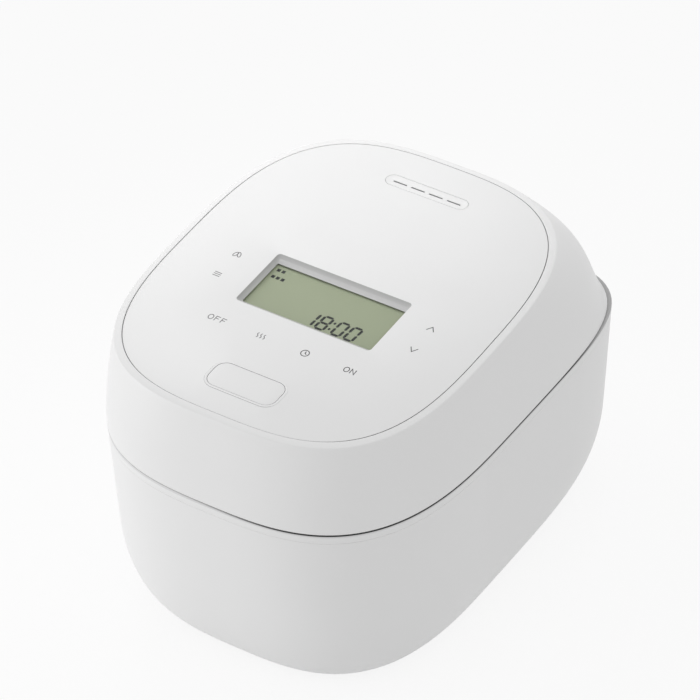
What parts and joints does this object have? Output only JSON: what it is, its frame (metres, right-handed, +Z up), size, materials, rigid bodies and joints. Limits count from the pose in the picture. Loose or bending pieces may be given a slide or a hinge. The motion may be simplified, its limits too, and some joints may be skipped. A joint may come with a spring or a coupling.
{
  "type": "rice cooker",
  "caption": "Household induction rice cooker with a rounded case, hinged lid with opening button, tilted touch panel with sunken display, steam vent and inner pot.",
  "frame": {"origin": "on the surface that the cooker stands on, under the middle of its length and width", "axes": "+Z up, -Y towards the user on the button side, +X to the user's right"},
  "size_m": [0.2492, 0.3212, 0.2171],
  "materials": {
    "case_white": "satin",
    "panel_white": "satin film",
    "button_white": "satin",
    "base_grey": "fine texture",
    "hinge_white": "satin",
    "lid_inside_grey": "satin",
    "well_dark": "heat resistant moulding",
    "hidden_dark": "moulded",
    "foot_rubber": "matt",
    "seal_rubber": "soft silicone",
    "pot_coating": "non-stick coating with fine speckle",
    "inner_lid_metal": "brushed",
    "steel": "plain",
    "sensor_metal": "satin",
    "contact_brass": "plain",
    "copper_winding": "enamelled strand",
    "ferrite": "sintered",
    "board_green": "solder mask",
    "component_black": "moulded",
    "display_clear": "clear",
    "display_green": "reflective display"
  },
  "bodies": {
    "body": {"body_shell": "case_white", "body_rim": "case_white", "bottom_cover": "base_grey", "rubber_feet": "foot_rubber", "bottom_screws": "steel", "well_liner": "well_dark", "inner_pot": "pot_coating", "coil_base": "well_dark", "inner_coil": "copper_winding", "outer_coil": "copper_winding", "side_coil": "copper_winding", "ferrite_bars": "ferrite", "sensor_spring": "steel", "power_board": "board_green", "heat_sink": "sensor_metal", "power_transistor": "component_black", "filter_capacitor": "component_black", "fan_frame": "hidden_dark", "inlet_housing": "hidden_dark", "inlet_pins": "contact_brass", "hinge_bracket": "hinge_white", "hinge_pin": "steel", "hinge_springs": "steel", "hinge_screws": "steel", "latch_catch": "steel"},
    "lid": {"lid_shell": "case_white", "lid_top_panel": "panel_white", "display_bezel": "panel_white", "display_lens": "display_clear", "lcd_module": "display_green", "control_board": "board_green", "touch_springs": "steel", "button_guide": "hidden_dark", "button_spring": "steel", "vent_cap": "button_white", "steam_chamber": "hidden_dark", "lid_inner_cover": "lid_inside_grey", "lid_screws": "steel", "latch_pin": "steel", "latch_spring": "steel", "inner_lid_plate": "inner_lid_metal", "inner_lid_gasket": "seal_rubber", "lid_coil": "copper_winding", "valve_housing": "hidden_dark", "safety_valve": "steel", "solenoid_body": "steel"},
    "button": {"open_button": "button_white"},
    "latch": {"latch_lever": "hidden_dark"},
    "fan": {"fan_rotor": "hidden_dark"},
    "pot_sensor": {"sensor_cap": "sensor_metal"},
    "lid_probe": {"lid_sensor": "sensor_metal"},
    "plunger": {"solenoid_plunger": "steel"},
    "ball": {"valve_ball": "steel"}
  },
  "joints": [
    {"name": "lid_hinge", "type": "hinge", "parent": "body", "child": "lid", "pos_m": [0, 0.1495, 0.155], "axis": [-1, 0, 0], "range_deg": [0, 95]},
    {"name": "button_press", "type": "slide", "parent": "lid", "child": "button", "axis": [0, 0.043, -0.9991], "range_m": [0, 0.003], "stiffness_N_per_m": 400, "springref_m": -0.001},
    {"name": "latch_pivot", "type": "hinge", "parent": "lid", "child": "latch", "pos_m": [0, -0.1385, 0.183], "axis": [-1, 0, 0], "range_deg": [0, 7.2]},
    {"name": "fan_spin", "type": "hinge", "parent": "body", "child": "fan", "pos_m": [0.026, 0.0955, 0.012], "axis": [0, 0, 1], "continuous": true},
    {"name": "sensor_push", "type": "slide", "parent": "body", "child": "pot_sensor", "axis": [0, 0, -1], "range_m": [0, 0.003], "stiffness_N_per_m": 300, "springref_m": -0.002},
    {"name": "lid_sensor_push", "type": "slide", "parent": "lid", "child": "lid_probe", "axis": [0, 0, 1], "range_m": [0, 0.0015], "stiffness_N_per_m": 200, "springref_m": -0.001},
    {"name": "plunger_push", "type": "slide", "parent": "lid", "child": "plunger", "axis": [0, 1, 0], "range_m": [0, 0.003], "stiffness_N_per_m": 200, "springref_m": -0.001},
    {"name": "ball_roll", "type": "slide", "parent": "lid", "child": "ball", "axis": [0, 1, 0], "range_m": [0, 0.003]}
  ],
  "couplings": [
    {"joint": "latch_pivot", "follows": "button_press", "rad_per_m": 41.888},
    {"joint": "ball_roll", "follows": "plunger_push", "ratio": 1}
  ]
}
